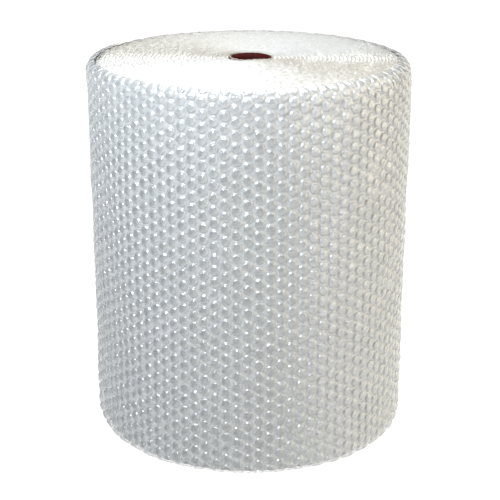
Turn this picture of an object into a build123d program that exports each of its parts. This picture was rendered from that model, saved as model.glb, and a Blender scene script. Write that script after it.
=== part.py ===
"""Bubble wrap roll: one long web of bubble film wound on a paperboard core, standing on its end.

Frame: the origin is on the core's axis at the surface the roll stands on, and +Z runs up that axis.
The web's loose end (the tail) is at the back left, and from there the roll's radius falls steadily,
counter-clockwise seen from above, by one turn's thickness over a full turn.
All sizes are in millimetres.
"""

from build123d import *

import os
from math import cos, radians, sin

# The web and how it is wound.
web_width = 750.0  # the roll's height as it stands
turn_pitch = 8.0  # one turn of bubbles, squeezed by the winding
turns = 34.5
tail_angle = 150.0  # where the web's loose end lies, in degrees from +X

# The paperboard core.
core_bore = 76.0  # takes a three-inch dispenser spindle
core_wall = 4.0
core_recess = 2.0  # the web's edges stand this far proud of each end of the core

# The ends of the roll.
top_shoulder = 9.0
bottom_shoulder = 16.0  # rounder, because the roll's weight crushes this edge
gap_width = 1.6  # the gap that shows between neighbouring turns
gap_depth = 3.0

# The spiral is drawn with tangent arcs, each a little tighter than the one before.
arcs_per_turn = 4

arc_sweep = 360.0 / arcs_per_turn
arc_step = turn_pitch / arcs_per_turn
core_radius = core_bore / 2 + core_wall
tail_radius = core_radius + turns * turn_pitch


def direction(angle):
    """The unit vector at an angle in degrees from +X."""
    return Vector(cos(radians(angle)), sin(radians(angle)), 0)


def spiral_arcs(first, last):
    """Centre, radius and start angle of each arc of the spiral, from the tail inwards.

    The centres walk round a small regular polygon, and its middle is the core's axis.
    """
    centres = [Vector(0, 0, 0)]
    for k in range(1, arcs_per_turn):
        centres.append(centres[-1] + direction(tail_angle + k * arc_sweep) * arc_step)
    middle = sum(centres, Vector(0, 0, 0)) * (1 / arcs_per_turn)
    return [
        (
            centres[k % arcs_per_turn] - middle,
            tail_radius - k * arc_step,
            tail_angle + k * arc_sweep,
        )
        for k in range(first, last)
    ]


def sector(centre, radius, start):
    """The part of the roll under one arc: a flat-ended disc sector with rounded shoulders."""
    outline = FilletPolyline(
        (0, 0),
        (radius, 0),
        (radius, web_width),
        (0, web_width),
        radius=[bottom_shoulder, top_shoulder],
    )
    section = make_face(Plane.XZ * (outline + Line((0, web_width), (0, 0))))
    turned = Rot(0, 0, start) * revolve(section, Axis.Z, arc_sweep)
    return Pos(centre.X, centre.Y, 0) * turned


def gap_between_turns():
    """The spiral slot between neighbouring turns, drawn flat and raised to its depth."""
    last_arc = int((tail_radius - core_radius - turn_pitch / 2) / arc_step)
    arcs = spiral_arcs(arcs_per_turn, last_arc)
    half = gap_width / 2
    outer = [CenterArc(c, r + half, start, arc_sweep) for c, r, start in arcs]
    inner = [CenterArc(c, r - half, start, arc_sweep) for c, r, start in arcs]
    ends = [Line(outer[0] @ 0, inner[0] @ 0), Line(outer[-1] @ 1, inner[-1] @ 1)]
    return extrude(make_face(Curve() + outer + inner + ends), gap_depth)


def bubble_wrap():
    """All the web's turns as one solid, with the tail's step down the back."""
    roll = sector(*spiral_arcs(0, 1)[0])
    for arc in spiral_arcs(1, arcs_per_turn):
        roll += sector(*arc)
    middle = Cylinder(core_radius + turn_pitch, web_width, align=(Align.CENTER, Align.CENTER, Align.MIN))
    hole = Cylinder(core_radius, web_width, align=(Align.CENTER, Align.CENTER, Align.MIN))
    gap = gap_between_turns()
    return roll + middle - hole - gap - Pos(0, 0, web_width - gap_depth) * gap


def paper_core():
    """The tube that the web is wound on, open right through."""
    ring = Circle(core_radius) - Circle(core_bore / 2)
    return Pos(0, 0, core_recess) * extrude(ring, web_width - 2 * core_recess)


os.makedirs("parts", exist_ok=True)
for name, shape in {"bubble_wrap": bubble_wrap(), "paper_core": paper_core()}.items():
    export_step(shape, f"parts/{name}.step")
    print(name, "solids", len(shape.solids()), "volume in litres", round(shape.volume / 1e6, 2))
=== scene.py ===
"""The looks of the bubble wrap roll: its outer turn as real bubbles, the turns' cut ends and the paper core.

Everything is in metres, in the CAD model's frame: +Z up the core's axis, the web's tail at the back left.
The web is first laid out flat, as length along the web (s), height (z) and lift off the backing film,
slit to its width there as a mill does, and then wound on to the roll.
"""

import math

import bmesh
import bpy
import numpy as np
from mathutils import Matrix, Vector


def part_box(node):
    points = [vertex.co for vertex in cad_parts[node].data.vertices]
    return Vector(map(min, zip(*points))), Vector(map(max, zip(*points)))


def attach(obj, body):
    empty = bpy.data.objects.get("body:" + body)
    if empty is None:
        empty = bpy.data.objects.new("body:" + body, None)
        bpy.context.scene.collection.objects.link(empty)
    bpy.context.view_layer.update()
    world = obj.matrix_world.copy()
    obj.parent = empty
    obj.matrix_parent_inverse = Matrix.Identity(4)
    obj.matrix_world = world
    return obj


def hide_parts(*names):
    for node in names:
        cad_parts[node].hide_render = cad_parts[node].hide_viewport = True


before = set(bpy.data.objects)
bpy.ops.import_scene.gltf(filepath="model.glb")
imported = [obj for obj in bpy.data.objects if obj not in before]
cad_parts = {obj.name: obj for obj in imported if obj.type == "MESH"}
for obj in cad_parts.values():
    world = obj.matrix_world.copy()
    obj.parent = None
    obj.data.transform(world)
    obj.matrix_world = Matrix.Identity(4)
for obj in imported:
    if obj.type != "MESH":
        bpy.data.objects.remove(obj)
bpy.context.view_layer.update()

# ---------------------------------------------------------------- sizes from the frame

wrap_low, wrap_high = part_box("bubble_wrap")
core_low, core_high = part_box("paper_core")
web_width = wrap_high.z
core_radius = core_high.x
core_wall = 0.004
core_bore_radius = core_radius - core_wall

turn_pitch = 0.008
tail_angle = math.radians(150)
# The roll is widest at the tail, and it has lost this much of a turn's thickness where it meets -X.
tail_radius = -wrap_low.x + turn_pitch * (math.pi - tail_angle) / (2 * math.pi)

# ---------------------------------------------------------------- the web and its bubbles

column_spacing = 0.02067  # between columns of bubbles, along the web
bubble_pitch = 0.02297  # between bubbles in a column, up the web
bubble_height = 0.0045
first_bubble_z = 0.0150
front_column_angle = math.radians(269.4)  # a column of whole pitches faces the front here

# A bubble's profile: the distance of each ring from its middle, how high it stands and how hazy it is.
ring_radii = (0.0100, 0.0094, 0.0083, 0.0067, 0.0043)
ring_lifts = (0.0, 0.38, 0.68, 0.87, 0.975)
ring_hazes = (0.85, 0.9, 0.7, 0.3, 0.1)
middle_haze = 0.0
web_haze = 0.8
segments = 18  # round each bubble

# How bubbles differ from each other.
limp_share = 0.03  # of the bubbles have lost some of their air
lobe_sizes = ((2, 0.035), (3, 0.035), (5, 0.03), (7, 0.02))  # waves round a bubble, and how strong
phase_range = 6.3  # about a full turn, in radians

# Where the film is made hazier, so whiter: a painted highlight towards its top edge and a painted reflection
# on the front right.
top_highlight_from = 0.60  # metres up the web
right_reflection_from, right_reflection_to = math.radians(274), math.radians(400)
right_reflection_ramp = math.radians(22)

# The web's edges.
edge_curl = 0.75  # how far the web's edges draw in, as a share of the shoulder's radius
held_above = 0.010  # nearer an edge than this, the bubbles are cut open and sink
sunk_height = 0.35  # what is left of a bubble's height at the edge
film_gap = 0.0004  # between the bubbles' tops and the CAD's envelope
bottom_shoulder = 0.027
edge_depth = 0.006  # how far down between the turns each end is modelled

random = np.random.default_rng(7)


def spiral_radius(turned):
    """The envelope's radius after turning this far from the tail, in radians."""
    return tail_radius - turn_pitch * turned / (2 * np.pi)


def turned_at(s):
    """How far the roll has turned, in radians, after a length s of web from the tail."""
    return (tail_radius - np.sqrt(tail_radius**2 - turn_pitch * s / np.pi)) * 2 * np.pi / turn_pitch


def length_at(turned):
    """The length of web wound after turning this far from the tail."""
    return tail_radius * turned - turn_pitch * turned**2 / (4 * np.pi)


front_column_s = length_at(front_column_angle - tail_angle)
tucked = 2 * column_spacing  # how far the web shows on under its own tail
outer_length = length_at(2 * math.pi) + tucked


def waves(count, shortest, longest, amplitude, dims=2):
    """A smooth random field over points: a sum of sines with wavelengths between two lengths."""
    lengths = np.exp(random.uniform(np.log(shortest), np.log(longest), count))
    directions = random.normal(size=(count, dims))
    directions /= np.linalg.norm(directions, axis=1)[:, None]
    phases = random.uniform(0, 2 * np.pi, count)
    numbers = 2 * np.pi * directions / lengths[:, None]
    scale = amplitude * np.sqrt(2 / count)
    return lambda *at: scale * np.sin(np.stack(at, -1) @ numbers.T + phases).sum(-1)


lumps = waves(14, 0.08, 0.45, 0.0009)  # slow swellings of the roll's side
ripples = waves(40, 0.010, 0.030, 0.00022)  # the film's slack between and over the bubbles
creases = waves(40, 0.004, 0.009, 0.00007)


def top_shoulder(theta):
    """The radius of the roll's top edge, sharper on the left than on the right."""
    return 0.025 + 0.005 * np.cos(theta)


def inset_at(z, theta):
    """How far the ends of the roll would draw in, as a quarter circle at each edge."""
    top, bottom = top_shoulder(theta), bottom_shoulder
    into_top = np.clip(z - (web_width - top), 0, top)
    into_bottom = np.clip(bottom - z, 0, bottom)
    return top - np.sqrt(top**2 - into_top**2) + bottom - np.sqrt(bottom**2 - into_bottom**2)


def wound(s, z, lift):
    """Where points of the flat web lie once it is wound on to the roll."""
    turned = turned_at(s)
    theta = tail_angle + turned
    from_edge = np.minimum(z, web_width - z)
    held = np.clip(from_edge / held_above, 0, 1) ** 0.5
    slack = (ripples(s, z) + creases(s, z)) * np.clip(lift / bubble_height + 0.4, 0, 1)
    base = spiral_radius(turned) - bubble_height - film_gap + lumps(s, z)
    inset = edge_curl * inset_at(z, theta)
    radius = base - inset + lift * (sunk_height + (1 - sunk_height) * held) + slack
    return np.stack([radius * np.cos(theta), radius * np.sin(theta), z], -1)


def stagger(column):
    """How far up the bubbles of every second column start."""
    return (column % 2) * bubble_pitch / 2


def from_nearest(values, spacing):
    """How far each value is from the nearest whole number of spacings, and that number."""
    nearest = np.round(values / spacing)
    return values - nearest * spacing, nearest


def dome(away, foot, ramp):
    """A bubble's rise at a distance from its middle: 0 beyond its foot, and 1 from the ramp inwards."""
    rise = np.clip((foot - away) / ramp, 0, 1)
    return rise * rise * (3 - 2 * rise)


# ---------------------------------------------------------------- mesh and material helpers


def add_mesh(name, points, faces):
    """A mesh object from points and a list of face arrays, each with one number of corners."""
    mesh = bpy.data.meshes.new(name)
    mesh.vertices.add(len(points))
    mesh.vertices.foreach_set("co", np.asarray(points, np.float32).ravel())
    corners = np.concatenate([f.ravel() for f in faces])
    sides = np.concatenate([np.full(len(f), f.shape[1]) for f in faces])
    mesh.loops.add(len(corners))
    mesh.loops.foreach_set("vertex_index", corners.astype(np.int32))
    mesh.polygons.add(len(sides))
    mesh.polygons.foreach_set("loop_start", (np.cumsum(sides) - sides).astype(np.int32))
    mesh.update(calc_edges=True)
    mesh.validate()
    piece = bpy.data.objects.new(name, mesh)
    bpy.context.scene.collection.objects.link(piece)
    return piece


def add_values(piece, name, values):
    """A float value on each vertex, for a material to read."""
    layer = piece.data.attributes.new(name, "FLOAT", "POINT")
    layer.data.foreach_set("value", np.asarray(values, np.float32))


def grid_faces(rows, columns, closed):
    """Quads over a grid of points, joined round the last column to the first if it is closed."""
    i = np.arange(rows - 1)[:, None]
    j = np.arange(columns if closed else columns - 1)[None, :]
    ahead = (j + 1) % columns
    row, next_row = i * columns, (i + 1) * columns
    quads = np.stack([row + j, row + ahead, next_row + ahead, next_row + j], -1)
    return quads.reshape(-1, 4)


def ring_faces(rows, columns):
    """Quads over a grid that closes on itself both ways, as on a solid ring."""
    closing = grid_faces(2, columns, True)
    to_first = closing - columns
    to_last = closing + (rows - 1) * columns
    return [grid_faces(rows, columns, True), np.where(closing >= columns, to_first, to_last)]


def finish_film(piece, material):
    """Gives a piece of the web its material and its place in the frame."""
    piece.data.materials.append(material)
    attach(piece, "root")
    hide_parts("bubble_wrap")


class Nodes:
    """A material's node tree, with short calls to add and link nodes."""

    def __init__(self, name):
        self.material = bpy.data.materials.new(name)
        self.material.use_nodes = True
        self.tree = self.material.node_tree
        self.shader = self.tree.nodes["Principled BSDF"]

    def add(self, kind, inputs=None, **settings):
        node = self.tree.nodes.new(kind)
        for key, value in settings.items():
            setattr(node, key, value)
        for key, value in (inputs or {}).items():
            self.put(node.inputs[key], value)
        return node

    def put(self, socket, value):
        if isinstance(value, bpy.types.NodeSocket):
            self.tree.links.new(value, socket)
        else:
            socket.default_value = value

    def set(self, **inputs):
        for key, value in inputs.items():
            self.put(self.shader.inputs[key.replace("_", " ")], value)

    def noise(self, scale, detail=2.0, roughness=0.5, stretch=(1, 1, 1)):
        inputs = {"Scale": scale, "Detail": detail, "Roughness": roughness, "Vector": self.place(stretch)}
        return self.add("ShaderNodeTexNoise", inputs).outputs["Fac"]

    def spread(self, value, low, high, to_low, to_high):
        inputs = {"Value": value, "From Min": low, "From Max": high, "To Min": to_low, "To Max": to_high}
        return self.add("ShaderNodeMapRange", inputs).outputs["Result"]

    def total(self, first, second):
        node = self.add("ShaderNodeMath", operation="ADD")
        self.put(node.inputs[0], first)
        self.put(node.inputs[1], second)
        return node.outputs[0]

    def mix(self, factor, first, second):
        node = self.add("ShaderNodeMix", data_type="RGBA")
        self.put(node.inputs["Factor"], factor)
        self.put(node.inputs["A"], first)
        self.put(node.inputs["B"], second)
        return [o for o in node.outputs if o.type == "RGBA"][0]

    def value(self, name):
        return self.add("ShaderNodeAttribute", attribute_name=name).outputs["Fac"]

    def bump(self, height, strength, distance):
        inputs = {"Strength": strength, "Distance": distance, "Height": height}
        return self.add("ShaderNodeBump", inputs).outputs["Normal"]

    def place(self, stretch):
        where = self.add("ShaderNodeTexCoord").outputs["Object"]
        return self.add("ShaderNodeMapping", {"Vector": where, "Scale": stretch}).outputs["Vector"]


# ---------------------------------------------------------------- materials


def clear_film():
    """The outer turn's film: clear and glossy, hazier on the bubbles' stretched walls, and whiter where its
    haze carries a painted highlight towards the top edge and a painted reflection on the front right.
    """
    nodes = Nodes("clear_film")
    cloud = nodes.noise(60, 3)
    patches = nodes.noise(190, 3, 0.6)
    crinkle = nodes.noise(210, 3, stretch=(1, 1, 0.7))
    # The haze read here carries a painted highlight towards the top edge and a painted reflection on the
    # front right.
    haze_and_painted_light = nodes.total(nodes.value("haze_and_painted_light"), nodes.spread(patches, 0.3, 0.7, -0.3, 0.3))
    nodes.set(
        Base_Color=nodes.mix(cloud, (0.33, 0.345, 0.355, 1), (0.41, 0.42, 0.42, 1)),
        Roughness=0.10,
        IOR=1.6,
        Specular_IOR_Level=1.0,
        Coat_Weight=1.0,
        Coat_Roughness=0.07,
        Coat_IOR=1.6,
        Alpha=nodes.spread(haze_and_painted_light, 0, 1.4, 0.25, 0.9),
        Normal=nodes.bump(crinkle, 0.6, 0.0013),
    )
    return nodes.material


def inner_film():
    """The turn seen through the outer one: whitish where layers stack up, greyer on the bubbles' clear tops,
    where painted shade stands for the depth of the roll seen through them.
    """
    nodes = Nodes("inner_film")
    cloud = nodes.noise(35, 4)
    crinkle = nodes.noise(300, 3)
    light = nodes.mix(cloud, (0.28, 0.29, 0.295, 1), (0.38, 0.388, 0.383, 1))
    nodes.set(
        # Painted shade on the bubbles' clear tops, for the darker depth of the roll behind them.
        Base_Color=nodes.mix(nodes.value("haze_and_painted_light"), (0.17, 0.183, 0.187, 1), light),
        Roughness=0.3,
        Normal=nodes.bump(crinkle, 0.5, 0.001),
    )
    return nodes.material


def cut_edge_film():
    """The turns' slit edges on the ends of the roll: many pale layers side by side, darker by the core, where
    the core's colour shows through and painted shade fills the crevices.
    """
    nodes = Nodes("cut_edge_film")
    grain = nodes.noise(260, 4, 0.7)
    speckle = nodes.spread(grain, 0.35, 0.65, 0, 1)
    light = nodes.mix(speckle, (0.42, 0.415, 0.40, 1), (0.60, 0.595, 0.58, 1))
    film = nodes.mix(nodes.value("depth"), light, (0.53, 0.525, 0.51, 1))
    nodes.set(
        # Darker by the core: the core's tint through the film, and painted shade in the crevices.
        Base_Color=nodes.mix(nodes.value("core_tint_and_shade"), film, (0.22, 0.19, 0.15, 1)),
        Roughness=0.5,
        Specular_IOR_Level=0.3,
        Alpha=0.6,
    )
    return nodes.material


def packed_film():
    """The depths between the turns' edges, where many layers of film scatter the light back."""
    nodes = Nodes("packed_film")
    grain = nodes.noise(180, 4, 0.7)
    speckle = nodes.spread(grain, 0.35, 0.65, 0, 1)
    nodes.set(
        Base_Color=nodes.mix(speckle, (0.62, 0.62, 0.60, 1), (0.86, 0.86, 0.84, 1)),
        Roughness=0.5,
        Normal=nodes.bump(grain, 0.6, 0.002),
    )
    return nodes.material


def core_board():
    """Wound maroon paperboard: streaked fibres, with the seams between its plies."""
    nodes = Nodes("core_board")
    fibres = nodes.noise(220, 5, 0.7, stretch=(1, 1, 0.25))
    board = nodes.mix(fibres, (0.020, 0.0015, 0.0015, 1), (0.050, 0.004, 0.004, 1))
    nodes.set(
        Base_Color=nodes.mix(nodes.value("seam"), board, (0.015, 0.002, 0.002, 1)),
        Roughness=nodes.spread(fibres, 0.3, 0.7, 0.65, 0.85),
        Specular_IOR_Level=0.1,
        Normal=nodes.bump(fibres, 0.35, 0.0004),
    )
    return nodes.material


def pale_floor():
    """The studio's sweep, bright enough to read as white."""
    nodes = Nodes("pale_floor")
    nodes.set(
        Base_Color=(0.3, 0.3, 0.3, 1),
        Roughness=0.7,
        Emission_Color=(1.0, 0.995, 0.985, 1),
        Emission_Strength=1.0,
    )
    return nodes.material


# ---------------------------------------------------------------- the outer turn


def bubble_middles():
    """The middles of the bubbles that reach the outer turn, column by column."""
    first = math.floor(-front_column_s / column_spacing) - 1
    last = math.ceil((outer_length - front_column_s) / column_spacing) + 1
    rows = np.arange(-2, int(web_width / bubble_pitch) + 3)
    middles = []
    for column in range(first, last + 1):
        along = np.full(len(rows), front_column_s + column * column_spacing)
        middles.append(np.column_stack([along, first_bubble_z + stagger(column) + rows * bubble_pitch]))
    return np.concatenate(middles)


def cell_rim():
    """The outline of one bubble's six-sided cell, round its middle."""
    side = (column_spacing**2 + bubble_pitch**2 / 4) / (2 * column_spacing)
    half_pitch = bubble_pitch / 2
    corners = np.array([(side, 0), (column_spacing - side, half_pitch), (side - column_spacing, half_pitch)])
    corners = np.concatenate([corners, -corners, corners[:1]])
    per_edge = segments // 6
    share = np.arange(per_edge)[:, None] / per_edge
    return np.concatenate([corners[k] * (1 - share) + corners[k + 1] * share for k in range(6)])


def flat_cells(centres):
    """Bubbles in the flat: each is a round bubble in the middle of its own six-sided cell.

    Gives the points as (s, z), their lifts and hazes, and the quads and triangles. Every cell has
    its own copy of its rim, and weld() joins them afterwards.
    """
    rim = cell_rim()
    angles = np.arctan2(rim[:, 1], rim[:, 0])
    circle = np.stack([np.cos(angles), np.sin(angles)], -1)

    cells = len(centres)
    sizes = random.normal(1, 0.02, cells)
    heights = np.clip(random.normal(0.95, 0.06, cells), 0.7, 1.06)
    limp = random.random(cells) < limp_share
    heights[limp] *= random.uniform(0.35, 0.7, limp.sum())
    tilts = random.normal(0, 0.07, (cells, 2))
    shifts = random.normal(0, 0.0003, (cells, 2))
    lobes = [
        (n, random.normal(0, size, cells), random.uniform(0, phase_range, cells))
        for n, size in lobe_sizes
    ]

    wobble = sum(a[:, None] * np.cos(n * (angles - p[:, None])) for n, a, p in lobes)
    lean = 1 + tilts[:, :1] * circle[:, 0] + tilts[:, 1:] * circle[:, 1]
    places = [centres[:, None, :] + rim]
    raised = [np.zeros((cells, segments))]
    hazy = [np.full((cells, segments), web_haze)]
    for k, (radius, lift, haze_and_painted_light) in enumerate(zip(ring_radii, ring_lifts, ring_hazes)):
        loose = 0 if k == 0 else 1  # the foot is welded to the backing film, so it stays round
        dented = 0.8 * wobble * (0.3 < lift < 0.95)
        reach = radius * sizes[:, None] * (1 + 0.35 * wobble * loose)
        places.append(centres[:, None, :] + shifts[:, None, :] * loose + reach[..., None] * circle)
        raised.append(bubble_height * lift * heights[:, None] * lean * (1 + dented))
        hazy.append(np.full((cells, segments), haze_and_painted_light) + random.normal(0, 0.05, (cells, 1)))
    places.append((centres + shifts)[:, None, :])
    raised.append(bubble_height * heights[:, None])
    hazy.append(np.full((cells, 1), middle_haze))

    rings = len(ring_radii)
    per_cell = segments * (rings + 1) + 1
    turn = np.arange(segments)
    ahead = (turn + 1) % segments
    caps = np.stack([rings * segments + turn, rings * segments + ahead, np.full(segments, per_cell - 1)], -1)
    first = (np.arange(cells) * per_cell)[:, None, None]
    return (
        np.concatenate(places, 1).reshape(-1, 2),
        np.concatenate(raised, 1).ravel(),
        np.concatenate(hazy, 1).ravel(),
        (grid_faces(rings + 1, segments, True) + first).reshape(-1, 4),
        (caps + first).reshape(-1, 3),
    )


def weld(points, *face_sets):
    """Joins points of the flat web that coincide. Gives which points stay and the faces on them."""
    steps_per_metre = 2e5
    row_length = 10_000_000
    steps = np.round(points * steps_per_metre).astype(np.int64)
    keys = steps[:, 0] * row_length + steps[:, 1]
    _, kept, where = np.unique(keys, return_index=True, return_inverse=True)
    return kept, [where[f] for f in face_sets]


def with_painted_veil(haze_and_painted_light, points):
    """The haze, evened out towards the top edge by a painted highlight and on the front right by a painted
    reflection.
    """
    theta = tail_angle + turned_at(np.clip(points[:, 0], 0, None))
    top_highlight = np.clip((points[:, 1] - top_highlight_from) / (web_width - top_highlight_from), 0, 1)
    right_reflection = np.clip((theta - right_reflection_from) / right_reflection_ramp, 0, 1)
    right_reflection *= np.clip((right_reflection_to - theta) / right_reflection_ramp, 0, 1)
    # The veil is painted light: a highlight towards the top edge and a reflection on the front right.
    veil = np.clip(0.6 * top_highlight + 0.8 * right_reflection, 0, 0.85)
    return haze_and_painted_light + (1.0 - haze_and_painted_light) * veil


def slit(name, points, lift, haze_and_painted_light, faces):
    """Cuts the flat web along both its edges and across, as the mill's blades do."""
    piece = add_mesh(name, np.column_stack([points, lift]), faces)
    add_values(piece, "haze_and_painted_light", haze_and_painted_light)
    web = bmesh.new()
    web.from_mesh(piece.data)
    for place, normal in (
        ((0, 0, 0), (0, -1, 0)),
        ((0, web_width, 0), (0, 1, 0)),
        ((0, 0, 0), (-1, 0, 0)),
        ((outer_length, 0, 0), (1, 0, 0)),
    ):
        everything = web.verts[:] + web.edges[:] + web.faces[:]
        bmesh.ops.bisect_plane(
            web, geom=everything, dist=1e-5, plane_co=place, plane_no=normal, clear_outer=True
        )
    web.to_mesh(piece.data)
    web.free()
    return piece


def wind(piece):
    """Winds a flat web on to the roll."""
    flat = np.empty(len(piece.data.vertices) * 3, np.float32)
    piece.data.vertices.foreach_get("co", flat)
    flat = flat.reshape(-1, 3).astype(float)
    placed = wound(flat[:, 0], flat[:, 1], flat[:, 2])
    piece.data.vertices.foreach_set("co", placed.astype(np.float32).ravel())
    piece.data.update()


def outer_turn(material):
    """The roll's outer turn in four stretches, cut between cells so that no seam shows."""
    panels = 4
    middles = bubble_middles()
    stretch = outer_length / panels
    for k in range(panels):
        in_panel = np.clip((middles[:, 0] // stretch).astype(int), 0, panels - 1) == k
        points, lift, haze_and_painted_light, quads, caps = flat_cells(middles[in_panel])
        # Adds a painted highlight towards the top edge and a painted reflection on the front right to the
        # haze.
        haze_and_painted_light = with_painted_veil(haze_and_painted_light, points)
        kept, (quads, caps) = weld(points, quads, caps)
        piece = slit(f"outer_turn_{k + 1}", points[kept], lift[kept], haze_and_painted_light[kept], [quads, caps])
        wind(piece)
        finish_film(piece, material)


# ---------------------------------------------------------------- the turns beneath and their ends


def second_turn(material):
    """The next turn in, seen through the clear film: its bubbles, in less detail, all round."""
    under = turn_pitch + 0.0006  # how far in from the outer turn
    margin = 0.004  # how far it stops short of each edge
    shift = 0.43 * column_spacing  # its columns fall between the outer turn's
    flat_top = 0.0082  # the radius of the bubbles' clear tops
    s = np.arange(0, outer_length, 0.0052)
    z = np.linspace(margin, web_width - margin, 130)
    ss, zz = np.meshgrid(s, z)
    from_column, column = from_nearest(ss - shift, column_spacing)
    from_row, _ = from_nearest(zz - stagger(column), bubble_pitch)
    away = np.hypot(from_column, from_row)
    rise = dome(away, 0.0105, 0.0030)
    points = wound(ss.ravel(), zz.ravel(), (rise * 0.0038).ravel())
    points[:, :2] *= (1 - under / np.hypot(points[:, 0], points[:, 1]))[:, None]
    piece = add_mesh("second_turn", points, [grid_faces(len(z), len(s), False)])
    # Marks the bubbles' clear tops, which the inner film paints with shade.
    add_values(piece, "haze_and_painted_light", (1 - rise * (away < flat_top)).ravel())
    finish_film(piece, material)


def cut_ends(name, top, step, levels, material):
    """One end of the roll: the slit edge of every turn, its backing film and its cut bubbles.

    The levels are depths below the end, from the edge itself to edge_depth.
    """
    first_turn = 0.985  # it starts where the outer turn passes under its tail
    core_gap = 0.001
    last_turn = (tail_radius - core_radius - core_gap) / turn_pitch
    s = np.arange(length_at(2 * math.pi * first_turn), length_at(2 * math.pi * last_turn), step)
    turned = turned_at(s)
    theta = tail_angle + turned
    outer = spiral_radius(turned)
    from_column, column = from_nearest(s - front_column_s, column_spacing)
    edge_z, down = (web_width, -1) if top else (0.0, 1)
    to_nearest, _ = from_nearest(edge_z - first_bubble_z - stagger(column), bubble_pitch)
    bubble_z = edge_z - to_nearest
    column = (column - column.min()).astype(int)
    squash = random.uniform(0.45, 1.0, column.max() + 1)[column]
    uneven_size = 0.0007
    uneven = waves(20, 0.05, 0.6, uneven_size, 1)(s)

    # The roll's shoulder: the outer turns' edges lie lower, and further in.
    shoulder = top_shoulder(theta) if top else np.full(len(s), bottom_shoulder)
    depth_in = tail_radius - outer
    down_the_curve = shoulder - np.sqrt(shoulder**2 - np.clip(shoulder - depth_in, 0, shoulder) ** 2)
    draw_in = edge_curl * shoulder * np.exp(-depth_in / 0.05)

    # By the core, the innermost turns lean over its rim; they take a tint of its colour through the film, and
    # painted shade darkens the crevices between them.
    from_core = outer - core_radius
    lean = 0.0045 * np.exp(-from_core / 0.009) * (0.6 + 1.2 * np.abs(np.sin(s * 2 * np.pi / 0.031)))
    tint_and_shade = 0.8 * np.exp(-from_core / 0.010)

    frill = 0.00035 * np.sin(s * 2 * np.pi / 0.0061 + 9 * uneven / uneven_size)
    sunk = 0.35 * down_the_curve + np.clip(uneven + 0.0009, 0, None)
    films = []
    backings = []
    for level in levels:
        near_edge = 1 - level / edge_depth
        z = edge_z + down * (level + sunk * (level < edge_depth))
        base = outer - bubble_height - draw_in * (0.88 + 0.12 * near_edge) - 0.0003 - lean * near_edge
        rise = dome(np.hypot(from_column, z - bubble_z), 0.0100, 0.0030)
        give = 1 - near_edge * (1 - squash)
        film = base + film_gap + rise * bubble_height * 0.88 * give + frill * near_edge
        films.append(np.column_stack([film * np.cos(theta), film * np.sin(theta), z]))
        backings.append(np.column_stack([base * np.cos(theta), base * np.sin(theta), z]))
    points = np.concatenate([*films, backings[0], backings[-1]])
    film_faces = grid_faces(len(levels), len(s), False)
    backing_faces = grid_faces(2, len(s), False) + len(levels) * len(s)
    piece = add_mesh(name, points, [film_faces, backing_faces])
    row_levels = np.array([*levels, levels[0], levels[-1]])
    add_values(piece, "depth", np.repeat(row_levels / edge_depth, len(s)))
    add_values(piece, "core_tint_and_shade", np.tile(tint_and_shade, len(row_levels)))
    finish_film(piece, material)


def packed_turns(material):
    """The body of the wound turns, up to where the ends' open edges begin."""
    shoulder = 0.012
    overlap = 0.0004  # how far it reaches in among the open edges
    low, high = edge_depth - overlap, web_width - edge_depth + overlap
    inner = core_radius + 0.0002
    outer = -wrap_low.x - 2.4 * turn_pitch
    bend = outer - shoulder
    quarter = np.linspace(0, math.pi / 2, 6)
    profile = [(inner, low), (bend, low)]
    profile += [(bend + shoulder * math.sin(a), low + shoulder - shoulder * math.cos(a)) for a in quarter[1:]]
    profile += [(bend + shoulder * math.cos(a), high - shoulder + shoulder * math.sin(a)) for a in quarter]
    profile += [(inner, high)]
    r, z = np.array(profile).T[:, :, None]
    around = np.linspace(0, 2 * np.pi, 180, endpoint=False)
    points = np.stack([r * np.cos(around), r * np.sin(around), z + 0 * around], -1).reshape(-1, 3)
    piece = add_mesh("packed_turns", points, ring_faces(len(profile), len(around)))
    finish_film(piece, material)


# ---------------------------------------------------------------- the core


def core_tube(material):
    """The paperboard core: a tube with the helical seam of its inner ply, and its plies at the cut ends."""
    ply_width = 0.11
    seam_width = 0.0012
    # Rings over each cut end: how far through the wall, and how far below the end.
    end_plies = ((0.2, 0.0003), (0.4, 0.0), (0.6, 0.0004), (0.8, 0.0), (1.0, 0.0002))
    around = np.linspace(0, 2 * np.pi, 120, endpoint=False)
    heights = np.linspace(core_low.z, core_high.z, 90)
    th, zz = np.meshgrid(around, heights)
    helix = (zz / ply_width - th / (2 * np.pi)) % 1
    seam = np.exp(-(((helix - 0.5) * ply_width / seam_width) ** 2))
    bore = core_bore_radius + 0.0006 * seam
    rows = [np.stack([bore * np.cos(th), bore * np.sin(th), zz], -1).reshape(-1, 3)]
    for end_z, inwards, plies in ((core_high.z, -1, end_plies), (core_low.z, 1, end_plies[::-1])):
        for share, dip in plies:
            radius = core_bore_radius + core_wall * share
            height = np.full(len(around), end_z + inwards * dip)
            rows.append(np.column_stack([radius * np.cos(around), radius * np.sin(around), height]))
    points = np.concatenate(rows)
    piece = add_mesh("core_tube", points, ring_faces(len(points) // len(around), len(around)))
    add_values(piece, "seam", np.concatenate([seam.ravel(), np.zeros(len(points) - seam.size)]))
    piece.data.materials.append(material)
    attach(piece, "root")
    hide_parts("paper_core")


# ---------------------------------------------------------------- the studio


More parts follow.
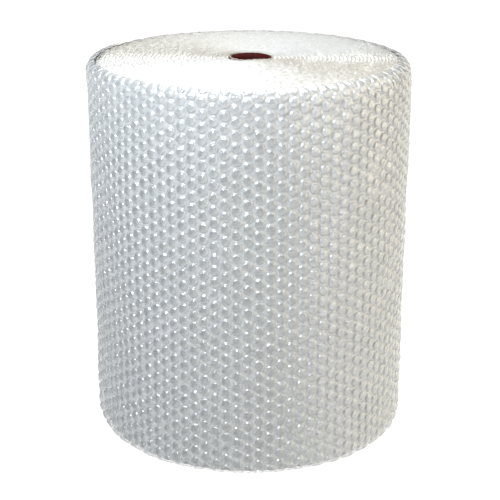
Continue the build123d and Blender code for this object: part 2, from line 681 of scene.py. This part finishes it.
def softbox(name, place, at, size, power, colour):
    """A rectangular area light, pointed at a place."""
    lamp = bpy.data.lights.new(name, "AREA")
    lamp.shape = "RECTANGLE"
    lamp.size, lamp.size_y = size
    lamp.energy = power
    lamp.color = colour
    holder = bpy.data.objects.new(name, lamp)
    bpy.context.scene.collection.objects.link(holder)
    holder.location = place
    holder.rotation_euler = (Vector(at) - holder.location).to_track_quat("-Z", "Y").to_euler()


def studio():
    """The white sweep, three softboxes and the camera."""
    reach = 12.0
    corners = np.array([(-reach, -reach, 0), (reach, -reach, 0), (reach, reach, 0), (-reach, reach, 0)])
    floor = add_mesh("floor", corners, [np.array([[0, 1, 2, 3]])])
    floor.data.materials.append(pale_floor())

    world = bpy.data.worlds.new("studio_air")
    world.use_nodes = True
    air = world.node_tree.nodes["Background"]
    air.inputs["Color"].default_value = (1.0, 0.985, 0.96, 1)
    air.inputs["Strength"].default_value = 0.22
    bpy.context.scene.world = world

    near_top = (0, 0, 0.95 * web_width)
    top = (0, 0, web_width)
    middle = (0, 0, 0.5 * web_width)
    softbox("key", (-0.62, -1.05, 1.45), near_top, (0.6, 0.6), 40, (0.86, 0.93, 1.0))
    softbox("top", (0.2, 0.3, 3.2), top, (2.2, 2.2), 100, (1.0, 0.97, 0.93))
    softbox("right", (2.9, -0.8, 1.3), middle, (5.6, 3.6), 165, (1.0, 0.92, 0.74))

    pitch_down = 19.375
    view = bpy.data.cameras.new("camera")
    view.sensor_width = 36.0
    view.lens = 94.24
    camera = bpy.data.objects.new("camera", view)
    bpy.context.scene.collection.objects.link(camera)
    camera.location = (0.0, -2.524, 1.2376)
    camera.rotation_euler = (math.radians(90 - pitch_down), 0, 0)
    bpy.context.scene.camera = camera
    bpy.context.scene.view_settings.view_transform = "Standard"


edge_film = cut_edge_film()
outer_turn(clear_film())
second_turn(inner_film())
cut_ends("top_edges", True, 0.0026, (0.0, 0.0015, 0.0035, edge_depth), edge_film)
cut_ends("bottom_edges", False, 0.0040, (0.0, 0.003, edge_depth), edge_film)
packed_turns(packed_film())
core_tube(core_board())
studio()
